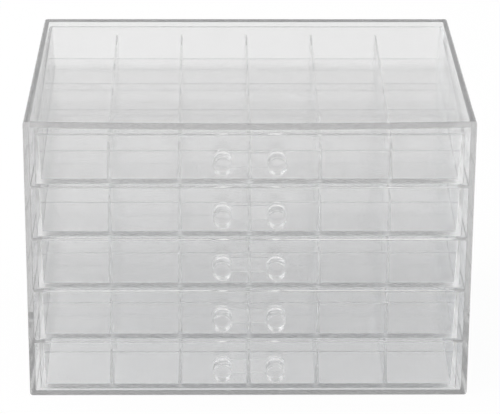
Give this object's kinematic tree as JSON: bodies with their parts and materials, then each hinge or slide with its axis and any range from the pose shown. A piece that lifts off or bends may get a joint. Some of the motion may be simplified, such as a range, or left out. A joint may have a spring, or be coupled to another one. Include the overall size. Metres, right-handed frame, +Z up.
{
  "type": "nail_polish_rack",
  "caption": "Clear plastic tabletop cabinet with shallow sliding drawers, each split into small square compartments, with paired round knobs.",
  "frame": {"origin": "On the table, midway across and midway between the knobs' ends and the back of the case.", "axes": "+X runs to the right as seen from the front, +Y from the front to the back, +Z up. The drawers open towards -Y."},
  "size_m": [0.235, 0.1746, 0.1585],
  "materials": {
    "clear_case": "polished, transparent",
    "clear_drawer": "polished, transparent",
    "clear_handle": "polished, transparent"
  },
  "bodies": {
    "cabinet": {"case": "clear_case"},
    "drawer_1": {"drawer_1_tray": "clear_drawer", "drawer_1_handle": "clear_handle", "drawer_1_long_divider_1": "clear_drawer", "drawer_1_long_divider_2": "clear_drawer", "drawer_1_long_divider_3": "clear_drawer", "drawer_1_cross_divider_1": "clear_drawer", "drawer_1_cross_divider_2": "clear_drawer", "drawer_1_cross_divider_3": "clear_drawer", "drawer_1_cross_divider_4": "clear_drawer", "drawer_1_cross_divider_5": "clear_drawer"},
    "drawer_2": {"drawer_2_tray": "clear_drawer", "drawer_2_handle": "clear_handle", "drawer_2_long_divider_1": "clear_drawer", "drawer_2_long_divider_2": "clear_drawer", "drawer_2_long_divider_3": "clear_drawer", "drawer_2_cross_divider_1": "clear_drawer", "drawer_2_cross_divider_2": "clear_drawer", "drawer_2_cross_divider_3": "clear_drawer", "drawer_2_cross_divider_4": "clear_drawer", "drawer_2_cross_divider_5": "clear_drawer"},
    "drawer_3": {"drawer_3_tray": "clear_drawer", "drawer_3_handle": "clear_handle", "drawer_3_long_divider_1": "clear_drawer", "drawer_3_long_divider_2": "clear_drawer", "drawer_3_long_divider_3": "clear_drawer", "drawer_3_cross_divider_1": "clear_drawer", "drawer_3_cross_divider_2": "clear_drawer", "drawer_3_cross_divider_3": "clear_drawer", "drawer_3_cross_divider_4": "clear_drawer", "drawer_3_cross_divider_5": "clear_drawer"},
    "drawer_4": {"drawer_4_tray": "clear_drawer", "drawer_4_handle": "clear_handle", "drawer_4_long_divider_1": "clear_drawer", "drawer_4_long_divider_2": "clear_drawer", "drawer_4_long_divider_3": "clear_drawer", "drawer_4_cross_divider_1": "clear_drawer", "drawer_4_cross_divider_2": "clear_drawer", "drawer_4_cross_divider_3": "clear_drawer", "drawer_4_cross_divider_4": "clear_drawer", "drawer_4_cross_divider_5": "clear_drawer"},
    "drawer_5": {"drawer_5_tray": "clear_drawer", "drawer_5_handle": "clear_handle", "drawer_5_long_divider_1": "clear_drawer", "drawer_5_long_divider_2": "clear_drawer", "drawer_5_long_divider_3": "clear_drawer", "drawer_5_cross_divider_1": "clear_drawer", "drawer_5_cross_divider_2": "clear_drawer", "drawer_5_cross_divider_3": "clear_drawer", "drawer_5_cross_divider_4": "clear_drawer", "drawer_5_cross_divider_5": "clear_drawer"}
  },
  "joints": [
    {"name": "drawer_1_slide", "type": "slide", "parent": "cabinet", "child": "drawer_1", "axis": [0, -1, 0], "range_m": [0, 0.12]},
    {"name": "drawer_2_slide", "type": "slide", "parent": "cabinet", "child": "drawer_2", "axis": [0, -1, 0], "range_m": [0, 0.12]},
    {"name": "drawer_3_slide", "type": "slide", "parent": "cabinet", "child": "drawer_3", "axis": [0, -1, 0], "range_m": [0, 0.12]},
    {"name": "drawer_4_slide", "type": "slide", "parent": "cabinet", "child": "drawer_4", "axis": [0, -1, 0], "range_m": [0, 0.12]},
    {"name": "drawer_5_slide", "type": "slide", "parent": "cabinet", "child": "drawer_5", "axis": [0, -1, 0], "range_m": [0, 0.12]}
  ]
}
